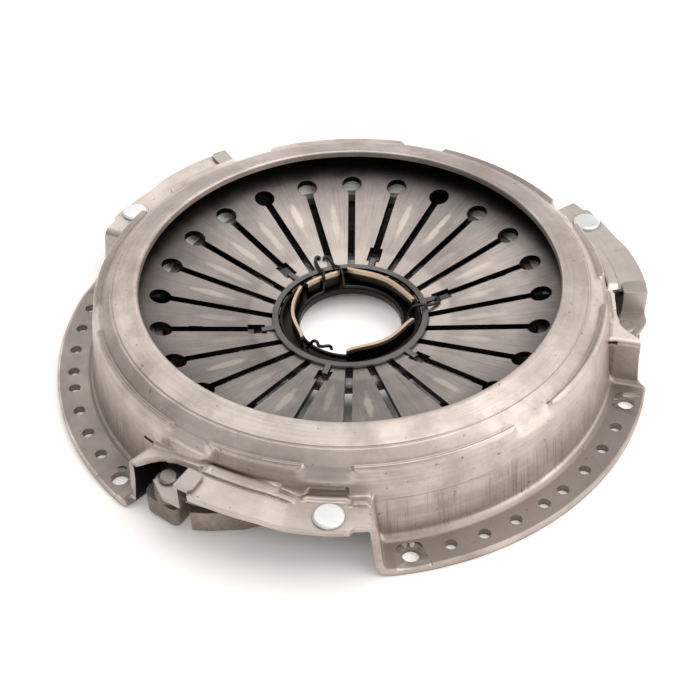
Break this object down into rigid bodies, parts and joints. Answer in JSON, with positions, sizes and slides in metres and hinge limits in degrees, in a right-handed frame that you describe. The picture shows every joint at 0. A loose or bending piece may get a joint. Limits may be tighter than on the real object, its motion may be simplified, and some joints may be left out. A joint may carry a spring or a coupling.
{
  "type": "clutch pressure plate",
  "caption": "Pull-type clutch cover assembly: pressed steel cover, diaphragm spring, sprung pressure plate and a release hub that draws the spring fingers up.",
  "frame": {"origin": "centre of the cover bolt circle on the bolting face", "axes": "+Z along the clutch axis from the flywheel side to the gearbox side; +X through the middle of the first raised sector"},
  "size_m": [0.473, 0.475, 0.08],
  "materials": {
    "cover_steel": "satin, bare pressed steel",
    "cast_plate": "as cast, matt",
    "spring_steel": "hardened, matt with burnished spots",
    "leaf_steel": "blued spring steel",
    "rivet_steel": "satin",
    "zinc_rivet": "bright white zinc plate",
    "clip_steel": "satin",
    "collar_steel": "satin",
    "hub_steel": "dark phosphated",
    "strip_steel": "tan, satin edges",
    "wire_steel": "black spring wire"
  },
  "bodies": {
    "cover_body": {"cover": "cover_steel", "diaphragm_spring": "spring_steel", "leaf_1_1": "leaf_steel", "leaf_1_2": "leaf_steel", "leaf_1_3": "leaf_steel", "leaf_2_1": "leaf_steel", "leaf_2_2": "leaf_steel", "leaf_2_3": "leaf_steel", "leaf_3_1": "leaf_steel", "leaf_3_2": "leaf_steel", "leaf_3_3": "leaf_steel", "cover_rivet_1": "zinc_rivet", "cover_rivet_2": "zinc_rivet", "cover_rivet_3": "zinc_rivet"},
    "plate_body": {"pressure_plate": "cast_plate", "ear_rivet_1": "rivet_steel", "ear_rivet_2": "rivet_steel", "ear_rivet_3": "rivet_steel", "stop_clip_1": "clip_steel", "stop_clip_2": "clip_steel", "stop_clip_3": "clip_steel"},
    "hub_body": {"collar_ring": "collar_steel", "thrust_ring": "hub_steel", "lock_segment_1": "strip_steel", "lock_segment_2": "strip_steel", "lock_segment_3": "strip_steel", "lock_tongue": "strip_steel", "lock_wire": "wire_steel", "wire_loop": "wire_steel", "wire_hook": "wire_steel"}
  },
  "joints": [
    {"name": "release_pull", "type": "slide", "parent": "cover_body", "child": "hub_body", "axis": [0, 0, 1], "range_m": [0, 0.012], "stiffness_N_per_m": 150000, "springref_m": -0.004, "deforming": ["diaphragm_spring"]},
    {"name": "plate_lift", "type": "slide", "parent": "cover_body", "child": "plate_body", "axis": [0, 0, 1], "range_m": [0, 0.0019], "deforming": ["leaf_1_1", "leaf_1_2", "leaf_1_3", "leaf_2_1", "leaf_2_2", "leaf_2_3", "leaf_3_1", "leaf_3_2", "leaf_3_3"]}
  ],
  "couplings": [
    {"joint": "plate_lift", "follows": "release_pull", "ratio": 0.154}
  ]
}
